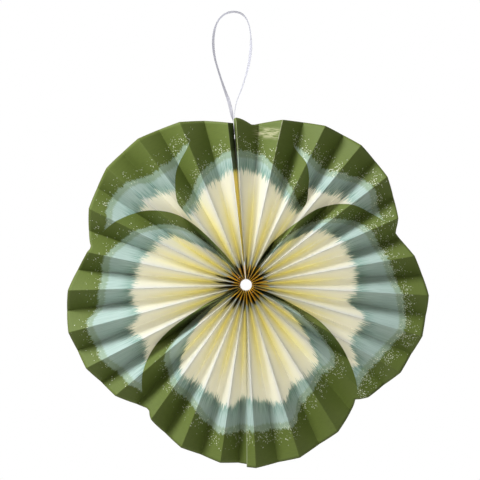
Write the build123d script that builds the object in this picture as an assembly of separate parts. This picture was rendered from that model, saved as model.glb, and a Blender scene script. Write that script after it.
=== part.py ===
from build123d import *
import math
import os
from collections import namedtuple

# A hand-pleated paper fan, closed into a full circle and hung by a ribbon. It is printed on its front.
# The origin is the middle of the open hub. The front faces -Y and +Z is up. Angles are read as on a
# clock seen from the front: degrees from the top, clockwise, so 90 is at +X. All lengths are in mm.

FULL_TURN = 360

# Pleated paper
HUB_RADIUS = 4.9
PANEL_WIDTH = 22.0
RIM_DEPTH = 13.0
PAPER_THICKNESS = 0.2

# Ridge-to-ridge angles of the front pleats, clockwise from the right ridge of the seam. They are uneven,
# as folded by hand, and are scaled to close the circle together with the two joints.
RIGHT_PLEATS = (16.0, 14.0, 13.0, 13.0, 13.75, 14.0, 13.0, 13.0, 13.25, 13.0, 15.5, 14.75, 14.0)
LAP_PLEAT = 11.5
LEFT_PLEATS = (13.5, 13.5, 14.5, 12.75, 12.5, 13.25, 13.5, 14.25, 14.0, 13.5, 14.25, 15.85)
SEAM_OPEN_RIGHT = 0.9
SEAM_OPEN_LEFT = 2.0
SEAM_ANGLE = 355.6

# Lobed outline of each sheet's rim, clockwise, as marks at its notches, crests and ends. Each has its
# clock angle, its share of the way from the notch radius to the crest radius, and the bend of the run to
# the next mark: below 1 the run is full at its shoulder, and above 1 it is hollow.
NOTCH_RADIUS = 137.5
CREST_RADIUS = 157.0
RIGHT_RIM = (
    (SEAM_ANGLE - FULL_TURN, 0.30, 1.15),
    (2.0, 0.03, 1.05),
    (41.0, 0.90, 0.78),
    (70.5, -0.06, 1.15),
    (99.0, 1.04, 0.74),
    (136.6, -0.08, 0.61),
    (178.0, 0.99, 1.0),
)
LEFT_RIM = (
    (178.0, 0.87, 0.53),
    (217.8, -0.13, 0.87),
    (256.3, 1.02, 1.05),
    (283.7, -0.04, 0.75),
    (315.7, 0.97, 0.97),
    (SEAM_ANGLE, 0.11, 1.0),
)
RUN_SEGMENTS = 12
RIM_MARGIN = 30.0

# The blank strip is set out farther than the rim and then cut to the outline
BLANK_MARGIN = 4.0
STATION_COUNT = 17

# Seam at the top: the end panels stand open in front and are stuck together behind
SEAM_FREE_WIDTH = 9.5
SEAM_GAP = 0.5
TAPE_WIDTH = 8.0
TAPE_START_RADIUS = 20.0
TAPE_SETBACK = 4.0
TAPE_DEPTH = 6.0

# Lap joint at the bottom: a tab of the right sheet, glued over the first panel of the left sheet
TAB_WIDTH = 0.5
LAP_START = 0.08
LAP_HUB_TRIM = 1.8
TAB_HUB_TRIM = 0.4
GLUE_GAP = 0.1

# Thread that gathers the hub, and the hole that it passes in each panel
THREAD_RING_RADIUS = 8.5
THREAD_DIAMETER = 0.7
THREAD_HOLE_DIAMETER = 1.2
THREAD_SIDES = 8
HOLE_SIDES = 6

# Hanging ribbon, doubled into a loop above the seam. Both ends are held in the seam. Its route is chosen
# as places in X and Z from the rim at the seam, up the left leg and down the right one.
RIBBON_WIDTH = 3.0
RIBBON_THICKNESS = 0.16
RIBBON_DEPTH = 4.5
RIBBON_HELD_LENGTH = 9.7
RIBBON_RISE = 11.3
RIBBON_LEG_OFFSET = 0.1
RIBBON_LOOP = (
    (-10.7, 36.9),
    (-18.5, 63.7),
    (-16.3, 85.7),
    (-6.7, 96.3),
    (7.1, 96.3),
    (14.3, 85.1),
    (15.5, 61.7),
    (9.3, 35.1),
)
ARC_SHARE = 0.45

FRONT = -1
BACK = 1

Crease = namedtuple("Crease", "place outer")


def spoke(angle, radius, depth=0.0):
    """Point at a clock angle and a radius from the hub, at a place through the fan's depth."""
    turn = math.radians(angle)
    return Vector(radius * math.sin(turn), depth, radius * math.cos(turn))


def ridge_angles():
    """Clock angles of the front ridges, from the right side of the seam round to its left side."""
    pleats = RIGHT_PLEATS + (LAP_PLEAT,) + LEFT_PLEATS
    scale = (FULL_TURN - SEAM_OPEN_RIGHT - SEAM_OPEN_LEFT) / sum(pleats)
    angles = [SEAM_ANGLE - FULL_TURN + SEAM_OPEN_RIGHT]
    for pleat in pleats:
        angles.append(angles[-1] + pleat * scale)
    return angles


def rim_radius(angle, rim):
    """Radius of a sheet's outline at a clock angle. Beyond its ends, it goes on at the last radius."""
    height = rim[0][1] if angle < rim[0][0] else rim[-1][1]
    for (start, first, bend), (end, last, next_bend) in zip(rim, rim[1:]):
        if start <= angle <= end:
            low, high = (start, end) if first <= last else (end, start)
            rise = math.sin((angle - low) / (high - low) * math.pi / 2) ** bend
            height = min(first, last) + abs(last - first) * rise
    return NOTCH_RADIUS + (CREST_RADIUS - NOTCH_RADIUS) * height


WIDEST_RADIUS = max(rim_radius(mark[0], rim) for rim in (RIGHT_RIM, LEFT_RIM) for mark in rim)
SEAM_RIM_RADIUS = rim_radius(SEAM_ANGLE, LEFT_RIM)


def pleat_depth(radius):
    """Depth from the ridges to the valleys, which shrinks as the panels spread towards the rim."""
    spread = 1 - (RIM_DEPTH / PANEL_WIDTH) ** 2
    return PANEL_WIDTH * math.sqrt(1 - spread * (radius / WIDEST_RADIUS) ** 2)


def fold(angle, side):
    """Ridge (FRONT) or valley (BACK) fold along one clock angle."""
    return Crease(lambda radius: spoke(angle, radius, side * pleat_depth(radius) / 2), side)


def seam_point(radius, aside, depth):
    """Point beside the seam plane, at a distance aside that is positive on the right sheet's side."""
    return spoke(SEAM_ANGLE, radius, depth) + spoke(SEAM_ANGLE + 90, aside)


def seam_panel(side):
    """Edge, bend and ridge of the end panel on one side of the seam, as the back edge comes first."""
    aside = (SEAM_GAP + PAPER_THICKNESS) / 2
    opening = math.radians(SEAM_OPEN_RIGHT if side > 0 else SEAM_OPEN_LEFT)

    def edge(radius):
        return seam_point(radius, side * aside, PANEL_WIDTH - pleat_depth(radius) / 2)

    def bend(radius):
        return seam_point(radius, side * aside, SEAM_FREE_WIDTH - pleat_depth(radius) / 2)

    def ridge(radius):
        opened = math.hypot(aside, radius * math.sin(opening))
        return seam_point(radius, side * opened, -pleat_depth(radius) / 2)

    return [Crease(edge, 0), Crease(bend, 0), Crease(ridge, FRONT)]


def stations():
    """Radii at which the pleats are set out, from the hub to beyond the rim."""
    step = (WIDEST_RADIUS + BLANK_MARGIN - HUB_RADIUS) / (STATION_COUNT - 1)
    return [HUB_RADIUS + step * count for count in range(STATION_COUNT)]


def surface_points(creases, radius, next_radius):
    """Points of the paper's front and back surfaces beside each crease, at one radius.

    A sharp fold has one point on its inside and two on its outside, where the fold is rounded off.
    """
    half = PAPER_THICKNESS / 2
    middle = [crease.place(radius) for crease in creases]
    outward = [(crease.place(next_radius) - point).normalized() for crease, point in zip(creases, middle)]
    across = [(after - before).normalized() for before, after in zip(middle, middle[1:])]
    fronts = []
    backs = []
    for index, (crease, point) in enumerate(zip(creases, middle)):
        before = across[max(index - 1, 0)]
        after = across[min(index, len(across) - 1)]
        normal_before = before.cross(outward[index]).normalized() * half
        normal_after = after.cross(outward[index]).normalized() * half
        miter = (normal_before + normal_after) / (1 + normal_before.dot(normal_after) / half ** 2)
        rounding = half * math.tan(math.radians(before.get_angle(after)) / 4)
        for side, points in ((FRONT, fronts), (BACK, backs)):
            if crease.outer == side:
                points.append([
                    point - normal_before * side + before * rounding,
                    point - normal_after * side - after * rounding,
                ])
            else:
                points.append([point - miter * side])
    return fronts, backs


def facets(line, other_line, ridge_first):
    """Flat triangles between two lines of points, each pair split from its ridge side outward."""
    faces = []
    for near, far, other_near, other_far in zip(line, line[1:], other_line, other_line[1:]):
        if ridge_first:
            corners = (near, far, other_far), (near, other_far, other_near)
        else:
            corners = (near, far, other_near), (far, other_far, other_near)
        faces += [Face(Wire.make_polygon(triangle)) for triangle in corners]
    return faces


def pleated_strip(creases):
    """Uncut pleated strip of paper, from the hub to the blank radius."""
    radii = stations()
    steps = zip(radii, radii[1:] + [radii[-1] + BLANK_MARGIN])
    sections = [surface_points(creases, radius, next_radius) for radius, next_radius in steps]
    faces = []
    sides = []
    for side in (0, 1):
        lines = [
            [[section[side][index][place] for section in sections] for place in range(len(points))]
            for index, points in enumerate(sections[0][side])
        ]
        for line in lines:
            if len(line) == 2:
                faces += facets(*line, True)
        for crease, line, next_line in zip(creases, lines, lines[1:]):
            faces += facets(line[-1], next_line[0], crease.outer == FRONT)
        sides.append(lines)
    fronts, backs = sides
    for end in (0, -1):
        faces += facets(fronts[end][end], backs[end][end], True)
        for index, (front, back) in enumerate(zip(fronts, backs)):
            corners = [line[end] for line in front + back[::-1]]
            if len(corners) == 3:
                faces.append(Face(Wire.make_polygon(corners)))
            if index + 1 < len(creases):
                fronts_end = [front[-1][end], fronts[index + 1][0][end]]
                backs_end = [back[-1][end], backs[index + 1][0][end]]
                faces += facets(fronts_end, backs_end, True)
    return Solid(Shell(faces))


def outline_prism(rim):
    """Wedge from the hub's axis to a sheet's outline, deep enough to cut the pleated strip to shape."""
    turns = [rim[0][0] - RIM_MARGIN] + [mark[0] for mark in rim] + [rim[-1][0] + RIM_MARGIN]
    angles = [turns[0]]
    for start, end in zip(turns, turns[1:]):
        angles += [start + (end - start) * step / RUN_SEGMENTS for step in range(1, RUN_SEGMENTS + 1)]
    points = [Vector(0, 0, 0)] + [spoke(angle, rim_radius(angle, rim)) for angle in angles]
    outline = Face(Wire.make_polygon(points))
    return extrude(outline, amount=PANEL_WIDTH, dir=(0, 1, 0), both=True)


def right_sheet_creases():
    """Creases of the right sheet, clockwise from the seam to the edge of its glued tab."""
    angles = ridge_angles()[:len(RIGHT_PLEATS) + 1]
    creases = seam_panel(1)
    for before, ridge in zip(angles, angles[1:-1]):
        creases += [fold((before + ridge) / 2, BACK), fold(ridge, FRONT)]
    creases.append(fold((angles[-2] + angles[-1]) / 2, BACK))

    def tab_line(radius, share):
        return lap_point(radius, share, lap_shift(radius))

    creases.append(Crease(lambda radius: tab_line(radius, 0), FRONT))
    creases.append(Crease(lambda radius: tab_line(radius, TAB_WIDTH - TAB_HUB_TRIM / radius), 0))
    return creases


def left_sheet_creases():
    """Creases of the left sheet, clockwise from the edge under the tab to the seam."""
    angles = ridge_angles()[len(RIGHT_PLEATS) + 1:]
    creases = [
        Crease(lambda radius: lap_point(radius, LAP_START + LAP_HUB_TRIM / radius, 0), 0),
        Crease(lambda radius: lap_point(radius, TAB_WIDTH + TAB_HUB_TRIM / radius, 0), 0),
        Crease(lambda radius: lap_point(radius, 1, 0), BACK),
    ]
    for ridge, after in zip(angles, angles[1:]):
        creases += [fold(ridge, FRONT), fold((ridge + after) / 2, BACK)]
    return creases + seam_panel(-1)[::-1]


def lap_span():
    """Clock angles of the ridge and of the valley on either side of the lap joint's panel."""
    angles = ridge_angles()
    ridge, after = angles[len(RIGHT_PLEATS)], angles[len(RIGHT_PLEATS) + 1]
    return ridge, (ridge + after) / 2


def lap_point(radius, share, shift):
    """Point of the lap joint's panel, at a share of its width from the ridge, turned by a shift."""
    ridge, valley = lap_span()
    depth = pleat_depth(radius)
    return spoke(ridge + (valley - ridge) * share + shift, radius, depth * (share - 0.5))


def lap_shift(radius):
    """Turn that lifts the tab off the panel under it by the paper's thickness and the glue."""
    ridge, valley = lap_span()
    depth = pleat_depth(radius)
    width = math.hypot(depth, radius * math.radians(valley - ridge))
    return math.degrees((PAPER_THICKNESS + GLUE_GAP) * width / depth / radius)


def pleated_sheet(creases, rim):
    """One printed half strip, die-cut to its lobed outline and punched for the hub's thread."""
    sheet = pleated_strip(creases) & outline_prism(rim)
    return sheet - ring(THREAD_RING_RADIUS, THREAD_HOLE_DIAMETER, HOLE_SIDES)


def ring(radius, diameter, sides):
    """Ring about the hub's axis, with a section of flat sides, in the middle of the fan's depth."""
    section = Plane.XY * Pos(radius, 0) * RegularPolygon(diameter / 2, sides)
    return revolve(section, axis=Axis.Y)


def seam_tape():
    """Double-sided foam tape between the two end panels, from near the hub to just below the ribbon."""
    end_radius = SEAM_RIM_RADIUS - RIBBON_HELD_LENGTH - TAPE_SETBACK
    length = end_radius - TAPE_START_RADIUS
    strip = Box(SEAM_GAP, TAPE_WIDTH, length)
    return Rot(0, SEAM_ANGLE, 0) * Pos(0, TAPE_DEPTH, TAPE_START_RADIUS + length / 2) * strip


def ribbon_route():
    """Corner points of the ribbon's route, from the end of its left leg to the end of its right leg."""
    radii = (SEAM_RIM_RADIUS - RIBBON_HELD_LENGTH, SEAM_RIM_RADIUS + RIBBON_RISE)
    left = [seam_point(radius, -RIBBON_LEG_OFFSET, RIBBON_DEPTH) for radius in radii]
    right = [seam_point(radius, RIBBON_LEG_OFFSET, RIBBON_DEPTH) for radius in reversed(radii)]
    rim = seam_point(SEAM_RIM_RADIUS, 0, RIBBON_DEPTH)
    return left + [rim + Vector(aside, 0, height) for aside, height in RIBBON_LOOP] + right


def hanging_ribbon():
    """Flat ribbon swept along straight runs joined by tangent arcs."""
    points = ribbon_route()
    runs = [after - before for before, after in zip(points, points[1:])]
    radii = []
    for run, next_run in zip(runs, runs[1:]):
        turn = math.radians(run.get_angle(next_run))
        radii.append(ARC_SHARE * min(run.length, next_run.length) / math.tan(turn / 2))
    route = FilletPolyline(*points, radius=radii)
    start = Plane(origin=points[0], x_dir=(0, 1, 0), z_dir=runs[0])
    ribbon = sweep(start * Rectangle(RIBBON_WIDTH, RIBBON_THICKNESS), path=route)
    full_volume = RIBBON_WIDTH * RIBBON_THICKNESS * route.length
    print("ribbon arc radii", [round(radius, 1) for radius in radii])
    print("ribbon length", round(route.length, 1))
    print("ribbon volume as a share of its section along the route", round(ribbon.volume / full_volume, 4))
    return ribbon


def main():
    os.makedirs("parts", exist_ok=True)
    parts = {
        "right_pleated_sheet": pleated_sheet(right_sheet_creases(), RIGHT_RIM),
        "left_pleated_sheet": pleated_sheet(left_sheet_creases(), LEFT_RIM),
        "seam_tape": seam_tape(),
        "hub_thread": ring(THREAD_RING_RADIUS, THREAD_DIAMETER, THREAD_SIDES),
        "hanging_ribbon": hanging_ribbon(),
    }
    for name, shape in parts.items():
        export_step(shape, f"parts/{name}.step")


main()
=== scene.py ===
import logging
import math
from dataclasses import dataclass, field
from enum import Enum
from typing import Any, Callable, Iterable, Optional, Union

import bpy
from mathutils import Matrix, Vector


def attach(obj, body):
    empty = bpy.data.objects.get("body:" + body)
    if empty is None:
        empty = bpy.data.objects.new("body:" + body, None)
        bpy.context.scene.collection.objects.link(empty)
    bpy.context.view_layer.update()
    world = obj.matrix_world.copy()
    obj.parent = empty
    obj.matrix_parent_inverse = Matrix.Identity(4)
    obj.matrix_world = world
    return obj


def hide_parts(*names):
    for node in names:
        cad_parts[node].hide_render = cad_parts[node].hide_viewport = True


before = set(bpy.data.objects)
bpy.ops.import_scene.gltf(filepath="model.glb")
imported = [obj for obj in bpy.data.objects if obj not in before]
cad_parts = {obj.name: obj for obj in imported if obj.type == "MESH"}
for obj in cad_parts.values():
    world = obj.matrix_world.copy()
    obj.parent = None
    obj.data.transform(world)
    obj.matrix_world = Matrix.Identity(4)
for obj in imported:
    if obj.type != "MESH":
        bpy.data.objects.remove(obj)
log = logging.getLogger("fan")

Colour = tuple[float, float, float, float]
Place = tuple[float, float, float]
Number = Union[int, float, "Reading"]
Rim = tuple[tuple[float, float, float], ...]
Curve = tuple[tuple[float, float], ...]
FULL_TURN = 360.0
DEGREES = 180 / math.pi
MILLIMETRES = 1000.0
PLAIN_WHITE: Colour = (1.0, 1.0, 1.0, 1.0)


def ink(red: int, green: int, blue: int, share: float = 1.0) -> Colour:
    """Turn a colour as the eye reads it into the light that a surface gives back.

    Args:
        red: Red from 0 to 255.
        green: Green from 0 to 255.
        blue: Blue from 0 to 255.
        share: Share of that light that is kept.

    Returns:
        The linear colour, with full alpha.
    """
    def linear(level: int) -> float:
        """Linear light of one level."""
        part = level / 255
        return share * (part / 12.92 if part <= 0.04045 else ((part + 0.055) / 1.055) ** 2.4)

    return linear(red), linear(green), linear(blue), 1.0


def add_object(name: str, data: bpy.types.ID) -> bpy.types.Object:
    """Put a new object in the scene."""
    item = bpy.data.objects.new(name, data)
    bpy.context.scene.collection.objects.link(item)
    return item


def operator(name: str, swapped: bool = False) -> Callable[["Reading", Number], "Reading"]:
    """Make an operator of readings that adds one Math node.

    Args:
        name: The node's operation.
        swapped: Whether the reading is its second value.

    Returns:
        The operator.
    """
    def method(reading: "Reading", other: Number) -> "Reading":
        """Add the node."""
        values = (other, reading) if swapped else (reading, other)
        return reading.graph.math(name, *values)

    return method


class Reading:
    """A number that a node gives. Its operators add the Math nodes of an expression.

    The comparisons give one where they hold, else zero.
    """

    def __init__(self, graph: "Graph", socket: bpy.types.NodeSocket) -> None:
        """Keep the graph and the socket that holds the number."""
        self.graph = graph
        self.socket = socket

    __add__ = __radd__ = operator("ADD")
    __sub__ = operator("SUBTRACT")
    __rsub__ = operator("SUBTRACT", swapped=True)
    __mul__ = __rmul__ = operator("MULTIPLY")
    __truediv__ = operator("DIVIDE")
    __gt__ = operator("GREATER_THAN")
    __lt__ = operator("LESS_THAN")

    def __abs__(self) -> "Reading":
        """The number without its sign."""
        return self.graph.math("ABSOLUTE", self)

    def most(self, *others: Number) -> "Reading":
        """The greatest of this number and some others."""
        greatest = self
        for other in others:
            greatest = self.graph.math("MAXIMUM", greatest, other)
        return greatest

    def rise(self, low: Number, high: Number) -> "Reading":
        """Smooth step from zero at low to one at high."""
        inputs = {"Value": self, "From Min": low, "From Max": high}
        return self.graph.read("ShaderNodeMapRange", inputs, {"interpolation_type": "SMOOTHSTEP"})

    def fall(self, low: Number, high: Number) -> "Reading":
        """Smooth step from one at low to zero at high."""
        return 1.0 - self.rise(low, high)


class Graph:
    """A node tree under construction."""

    MIX_SOCKETS = {"FLOAT": (2, 3, 0), "VECTOR": (4, 5, 1), "RGBA": (6, 7, 2)}

    def __init__(self, tree: bpy.types.NodeTree) -> None:
        """Start on an empty tree."""
        self.tree = tree
        tree.nodes.clear()

    def add(self, kind: str, inputs: Optional[dict[Any, Any]] = None,
            settings: Optional[dict[str, Any]] = None) -> bpy.types.Node:
        """Add one node.

        Args:
            kind: Type of the node.
            inputs: Values or links of its sockets, by name or by place.
            settings: Its settings, which are set before its inputs.

        Returns:
            The node.
        """
        node = self.tree.nodes.new(kind)
        for name, value in (settings or {}).items():
            setattr(node, name, value)
        for key, value in (inputs or {}).items():
            socket = node.inputs[key]
            value = value.socket if isinstance(value, Reading) else value
            if isinstance(value, bpy.types.NodeSocket):
                self.tree.links.new(value, socket)
            else:
                socket.default_value = value
        return node

    def read(self, kind: str, inputs: Optional[dict[Any, Any]] = None,
             settings: Optional[dict[str, Any]] = None, output: Any = 0) -> Reading:
        """Add one node and give what one of its outputs holds."""
        return Reading(self, self.add(kind, inputs, settings).outputs[output])

    def math(self, operation: str, *values: Number) -> Reading:
        """Add one Math node."""
        return self.read("ShaderNodeMath", dict(enumerate(values)), {"operation": operation})

    def vector(self, operation: str, *values: Any) -> Reading:
        """Add one Vector Math node. Its last value is the scale where it scales."""
        keys = (0, "Scale") if operation == "SCALE" else range(len(values))
        return self.read("ShaderNodeVectorMath", dict(zip(keys, values)), {"operation": operation})

    def join(self, x: Number = 0.0, y: Number = 0.0, z: Number = 0.0) -> Reading:
        """Vector of three numbers."""
        return self.read("ShaderNodeCombineXYZ", {"X": x, "Y": y, "Z": z})

    def split(self, vector: Any) -> tuple[Reading, ...]:
        """The three numbers of a vector."""
        node = self.add("ShaderNodeSeparateXYZ", {0: vector})
        return tuple(Reading(self, output) for output in node.outputs)

    def mix(self, kind: str, share: Number, first: Any, second: Any) -> Reading:
        """Value of a kind between two, by the share of the second."""
        low, high, output = self.MIX_SOCKETS[kind]
        return self.read("ShaderNodeMix", {0: share, low: first, high: second}, {"data_type": kind}, output)

    def blend(self, share: Number, first: Any, second: Any) -> Reading:
        """Colour between two, by the share of the second."""
        return self.mix("RGBA", share, first, second)

    def choose(self, share: Number, first: Number, second: Number) -> Reading:
        """Number between two, by the share of the second."""
        return self.mix("FLOAT", share, first, second)

    def noise(self, vector: Reading, scale: float, detail: float = 2.0) -> Reading:
        """Noise from about 0.2 to 0.8, round 0.5."""
        return self.read("ShaderNodeTexNoise", {"Vector": vector, "Scale": scale, "Detail": detail})

    def curve(self, places: list[tuple[float, float]], value: Reading) -> Reading:
        """Read a smooth curve.

        Args:
            places: Points of the curve, both numbers from 0 to 1.
            value: Place along it, from 0 to 1.

        Returns:
            The height of the curve there.
        """
        node = self.add("ShaderNodeFloatCurve", {"Value": value})
        points = node.mapping.curves[0].points
        while len(points) < len(places):
            points.new(0.5, 0.5)
        for point, place in zip(points, places):
            point.location = place
            point.handle_type = "AUTO_CLAMPED"
        node.mapping.update()
        return Reading(self, node.outputs[0])


@dataclass(frozen=True)
class FanSizes:
    """Sizes of the fan in metres and clock degrees, as its solids have them."""

    hub_radius: float = 0.0049
    panel_width: float = 0.022
    rim_depth: float = 0.013
    paper_thickness: float = 0.0002
    right_pleats: tuple[float, ...] = (
        16.0, 14.0, 13.0, 13.0, 13.75, 14.0, 13.0, 13.0, 13.25, 13.0, 15.5, 14.75, 14.0)
    lap_pleat: float = 11.5
    left_pleats: tuple[float, ...] = (
        13.5, 13.5, 14.5, 12.75, 12.5, 13.25, 13.5, 14.25, 14.0, 13.5, 14.25, 15.85)
    seam_open_right: float = 0.9
    seam_open_left: float = 2.0
    seam_angle: float = 355.6
    seam_free_width: float = 0.0095
    seam_gap: float = 0.0005
    tab_width: float = 0.5
    lap_start: float = 0.08
    lap_hub_trim: float = 0.0018
    tab_hub_trim: float = 0.0004
    glue_gap: float = 0.0001
    notch_radius: float = 0.1375
    crest_radius: float = 0.157
    right_rim: Rim = (
        (-4.4, 0.30, 1.15), (2.0, 0.03, 1.05), (41.0, 0.90, 0.78), (70.5, -0.06, 1.15), (99.0, 1.04, 0.74),
        (136.6, -0.08, 0.61), (178.0, 0.99, 1.0))
    left_rim: Rim = (
        (178.0, 0.87, 0.53), (217.8, -0.13, 0.87), (256.3, 1.02, 1.05), (283.7, -0.04, 0.75),
        (315.7, 0.97, 0.97), (355.6, 0.11, 1.0))

    @property
    def widest_radius(self) -> float:
        """Radius of the farthest crest."""
        return self.radius_at(max(mark[1] for mark in self.right_rim + self.left_rim))

    def radius_at(self, height: float) -> float:
        """Radius at a height between the notch, which is 0, and the crest, which is 1."""
        return self.notch_radius + (self.crest_radius - self.notch_radius) * height

    def ridge_angles(self) -> list[float]:
        """Clock angles of the front ridges, from the right side of the seam to its left side."""
        pleats = self.right_pleats + (self.lap_pleat,) + self.left_pleats
        scale = (FULL_TURN - self.seam_open_right - self.seam_open_left) / sum(pleats)
        angles = [self.seam_angle - FULL_TURN + self.seam_open_right]
        for pleat in pleats:
            angles.append(angles[-1] + pleat * scale)
        return angles

    def rim_radius(self, angle: float, rim: Rim) -> float:
        """Radius of a sheet's outline.

        Args:
            angle: Clock angle.
            rim: Marks of the outline: clock angle, height between notch and crest, bend of the next run.

        Returns:
            The radius in metres.
        """
        height = rim[0][1] if angle < rim[0][0] else rim[-1][1]
        for (start, first, bend), (end, last, _) in zip(rim, rim[1:]):
            if start <= angle <= end:
                low, high = (start, end) if first <= last else (end, start)
                rise = math.sin((angle - low) / (high - low) * math.pi / 2) ** bend
                height = min(first, last) + abs(last - first) * rise
        return self.radius_at(height)


@dataclass
class Crease:
    """A fold or an edge of a pleated sheet, and the flat paper from it to the next one.

    Where a place along the fold changes near the hub, its trim is divided by the radius.
    """

    turn: float
    lift: float
    fold: float = 0.0
    turn_trim: float = 0.0
    lift_trim: float = 0.0
    offset: float = 0.0
    side: float = 0.0
    opening: float = 0.0
    lap: float = 0.0
    width: float = 0.022

    @classmethod
    def ridge(cls, angle: float) -> "Crease":
        """Front ridge at a clock angle."""
        return cls(math.radians(angle), -1.0, -1.0)

    @classmethod
    def valley(cls, angle: float) -> "Crease":
        """Valley fold at a clock angle."""
        return cls(math.radians(angle), 1.0, 1.0)


MARK_NAMES = ("turn", "lift", "fold", "turn_trim", "lift_trim", "offset", "side", "opening", "lap")


class PaperFace(Enum):
    """The three kinds of face on a piece of printed paper."""

    FRONT = 1
    EDGE = 0
    BACK = -1


Finishes = dict[PaperFace, bpy.types.Material]


@dataclass
class PleatedSheet:
    """One pleated and die-cut half strip of printed paper.

    Its marks are a row of points, one a column, which carry the creases and the outline. A node tree
    folds a flat block of paper along them. Columns crowd towards the folds.
    """

    name: str
    node: str
    creases: list[Crease]
    rim: Rim
    sizes: FanSizes = field(default_factory=FanSizes)
    columns: int = 10
    rows: int = 56
    crowding: float = 0.85
    buckle: float = 0.00035
    seed: float = 3.0

    def column_marks(self) -> dict[str, list[float]]:
        """Work out what each column of the paper needs.

        Returns:
            The share of the way across its panel, the outline's radius, the way across the flat strip, the
            flat distances from the nearest ridge and the nearest valley, and the side of a seam wall.
        """
        names = ("share", "rim", "across", "from_ridge", "from_valley", "wall")
        marks: dict[str, list[float]] = {name: [] for name in names}
        start = 0.0
        last_panel = len(self.creases) - 2
        for panel, (crease, following) in enumerate(zip(self.creases, self.creases[1:])):
            for column in range(self.columns + (panel == last_panel)):
                flat = column / self.columns
                share = flat - self.crowding / (2 * math.pi) * math.sin(2 * math.pi * flat)
                angle = math.degrees(crease.turn + (following.turn - crease.turn) * share)
                near = {crease.fold: crease.width * share, following.fold: crease.width * (1 - share)}
                values = (share, self.sizes.rim_radius(angle, self.rim), start + crease.width * share,
                          near.get(-1.0, crease.width), near.get(1.0, crease.width),
                          crease.side if following.side else 0.0)
                for name, value in zip(names, values):
                    marks[name].append(value)
            start += crease.width
        return marks

    def marked_paper(self) -> bpy.types.Object:
        """Make the row of points that carries the marks."""
        marks = self.column_marks()
        count = len(marks["share"])
        mesh = bpy.data.meshes.new(self.name)
        mesh.from_pydata([(0.0, 0.0, 0.0)] * count, [], [])
        padding = [self.creases[-1]] * (count - len(self.creases))
        for name in MARK_NAMES:
            marks[name] = [getattr(crease, name) for crease in self.creases + padding]
        for name, values in marks.items():
            mesh.attributes.new(name, "FLOAT", "POINT").data.foreach_set("value", values)
        return add_object(self.name, mesh)

    def build(self, finishes: Finishes) -> bpy.types.Object:
        """Fold the paper and dress it.

        Args:
            finishes: Material of each kind of face.

        Returns:
            The finished piece.
        """
        paper = self.marked_paper()
        sizes = self.sizes
        recipe = PleatRecipe({
            "Panels": len(self.creases) - 1,
            "Columns": self.columns,
            "Rows": self.rows,
            "Hub radius": sizes.hub_radius,
            "Panel width": sizes.panel_width,
            "Rim depth": sizes.rim_depth,
            "Widest radius": sizes.widest_radius,
            "Paper thickness": sizes.paper_thickness,
            "Seam aside": (sizes.seam_gap + sizes.paper_thickness) / 2,
            "Lap lift": sizes.paper_thickness + sizes.glue_gap,
            "Lap half pleat": math.radians(sizes.lap_pleat / 2),
            "Buckle": self.buckle,
            "Seed": self.seed,
        }, finishes)
        recipe.bake(paper)
        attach(paper, "root")
        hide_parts(self.node)
        return paper


class Recipe:
    """A Geometry Nodes tree with named inputs."""

    def __init__(self, name: str, values: dict[str, Union[int, float]]) -> None:
        """Start the tree.

        Args:
            name: Its name.
            values: Number of each named input. An input is whole where its number is.
        """
        self.tree = bpy.data.node_groups.new(name, "GeometryNodeTree")
        self.graph = Graph(self.tree)
        self.numbers: dict[str, Union[int, float]] = {}
        new_socket = self.tree.interface.new_socket
        new_socket("Marks", in_out="INPUT", socket_type="NodeSocketGeometry")
        for label, value in values.items():
            kind = "NodeSocketInt" if isinstance(value, int) else "NodeSocketFloat"
            self.numbers[new_socket(label, in_out="INPUT", socket_type=kind).identifier] = value
        new_socket("Piece", in_out="OUTPUT", socket_type="NodeSocketGeometry")
        self.start = self.graph.add("NodeGroupInput")

    def value(self, label: str) -> Reading:
        """Number of a named input."""
        return Reading(self.graph, self.start.outputs[label])

    def end(self, geometry: Reading) -> None:
        """Give a geometry as the tree's result."""
        self.graph.add("NodeGroupOutput", {0: geometry})

    def bake(self, piece: bpy.types.Object) -> None:
        """Run the tree on a piece and keep what it gives as the piece's own plain mesh."""
        modifier = piece.modifiers.new(self.tree.name, "NODES")
        modifier.node_group = self.tree
        for identifier, value in self.numbers.items():
            modifier[identifier] = value
        evaluated = piece.evaluated_get(bpy.context.evaluated_depsgraph_get())
        mesh = bpy.data.meshes.new_from_object(evaluated)
        piece.modifiers.clear()
        piece.data = mesh


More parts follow.
